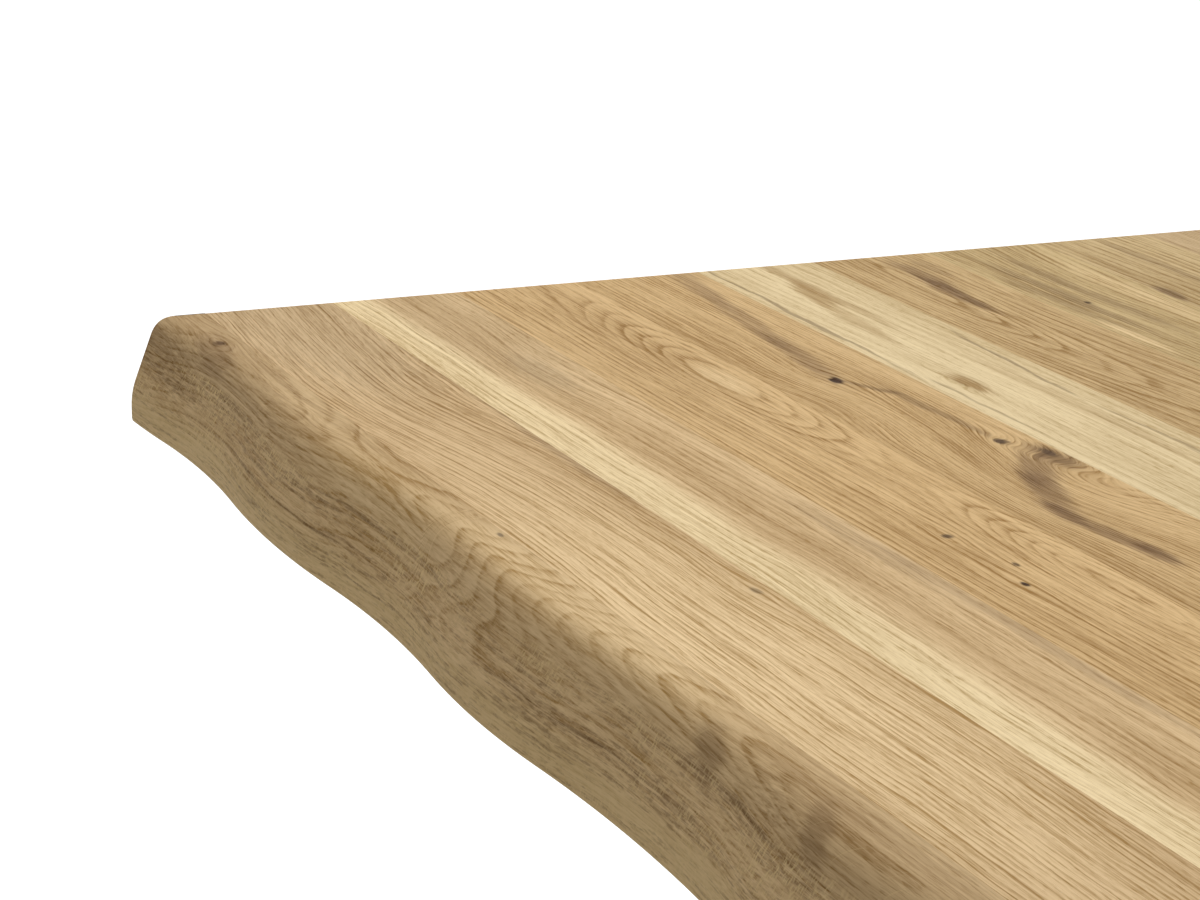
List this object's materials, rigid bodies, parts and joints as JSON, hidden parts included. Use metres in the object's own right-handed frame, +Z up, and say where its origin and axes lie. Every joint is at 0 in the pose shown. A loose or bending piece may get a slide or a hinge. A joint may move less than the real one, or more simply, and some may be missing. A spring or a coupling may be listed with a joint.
{
  "type": "live edge dining table",
  "caption": "Rectangular oak dining table: a top glued up from staves with wavy live edges along its long sides, on steel loop frames with levelling feet.",
  "frame": {"origin": "on the floor under the middle of the top", "axes": "+X along the grain and the length of the top, +Y across it towards the back edge, +Z up"},
  "size_m": [2, 0.9, 0.76],
  "materials": {
    "oak": "matt oiled oak",
    "black_steel": "fine textured black powder coat",
    "zinc_steel": "bright zinc plate",
    "black_nylon": "matt moulded plastic"
  },
  "bodies": {
    "table": {"back_edge_stave": "oak", "channel_left": "black_steel", "channel_middle": "black_steel", "channel_right": "black_steel", "channel_screws_left": "zinc_steel", "channel_screws_middle": "zinc_steel", "channel_screws_right": "zinc_steel", "frame_bolts_left": "zinc_steel", "frame_bolts_right": "zinc_steel", "frame_plate_left": "black_steel", "frame_plate_right": "black_steel", "frame_runner_left": "black_steel", "frame_runner_right": "black_steel", "frame_upright_left_back": "black_steel", "frame_upright_left_front": "black_steel", "frame_upright_right_back": "black_steel", "frame_upright_right_front": "black_steel", "frame_washers_left": "zinc_steel", "frame_washers_right": "zinc_steel", "frame_welds_left": "black_steel", "frame_welds_right": "black_steel", "front_edge_stave": "oak", "rivet_nuts_left": "zinc_steel", "rivet_nuts_right": "zinc_steel", "stave_02": "oak", "stave_03": "oak", "stave_04": "oak", "stave_05": "oak", "stave_06": "oak", "stave_07": "oak", "stave_08": "oak", "stave_09": "oak", "stave_10": "oak", "stave_11": "oak", "stave_12": "oak", "stave_13": "oak", "stave_14": "oak", "stave_15": "oak", "stave_16": "oak", "stave_17": "oak", "top_inserts_left": "zinc_steel", "top_inserts_right": "zinc_steel"},
    "stud_left_front": {"foot_stud_left_front": "zinc_steel"},
    "base_left_front": {"foot_base_left_front": "black_nylon"},
    "stud_left_back": {"foot_stud_left_back": "zinc_steel"},
    "base_left_back": {"foot_base_left_back": "black_nylon"},
    "stud_right_front": {"foot_stud_right_front": "zinc_steel"},
    "base_right_front": {"foot_base_right_front": "black_nylon"},
    "stud_right_back": {"foot_stud_right_back": "zinc_steel"},
    "base_right_back": {"foot_base_right_back": "black_nylon"}
  },
  "joints": [
    {"name": "foot_travel_left_front", "type": "slide", "parent": "table", "child": "stud_left_front", "axis": [0, 0, -1], "range_m": [0, 0.01]},
    {"name": "foot_turn_left_front", "type": "hinge", "parent": "stud_left_front", "child": "base_left_front", "pos_m": [-0.65, -0.27, 0], "axis": [0, 0, -1], "range_deg": [0, 2401]},
    {"name": "foot_travel_left_back", "type": "slide", "parent": "table", "child": "stud_left_back", "axis": [0, 0, -1], "range_m": [0, 0.01]},
    {"name": "foot_turn_left_back", "type": "hinge", "parent": "stud_left_back", "child": "base_left_back", "pos_m": [-0.65, 0.27, 0], "axis": [0, 0, -1], "range_deg": [0, 2401]},
    {"name": "foot_travel_right_front", "type": "slide", "parent": "table", "child": "stud_right_front", "axis": [0, 0, -1], "range_m": [0, 0.01]},
    {"name": "foot_turn_right_front", "type": "hinge", "parent": "stud_right_front", "child": "base_right_front", "pos_m": [0.65, -0.27, 0], "axis": [0, 0, -1], "range_deg": [0, 2401]},
    {"name": "foot_travel_right_back", "type": "slide", "parent": "table", "child": "stud_right_back", "axis": [0, 0, -1], "range_m": [0, 0.01]},
    {"name": "foot_turn_right_back", "type": "hinge", "parent": "stud_right_back", "child": "base_right_back", "pos_m": [0.65, 0.27, 0], "axis": [0, 0, -1], "range_deg": [0, 2401]}
  ],
  "couplings": [
    {"joint": "foot_turn_left_front", "follows": "foot_travel_left_front", "rad_per_m": 4188.8},
    {"joint": "foot_turn_left_back", "follows": "foot_travel_left_back", "rad_per_m": 4188.8},
    {"joint": "foot_turn_right_front", "follows": "foot_travel_right_front", "rad_per_m": 4188.8},
    {"joint": "foot_turn_right_back", "follows": "foot_travel_right_back", "rad_per_m": 4188.8}
  ]
}
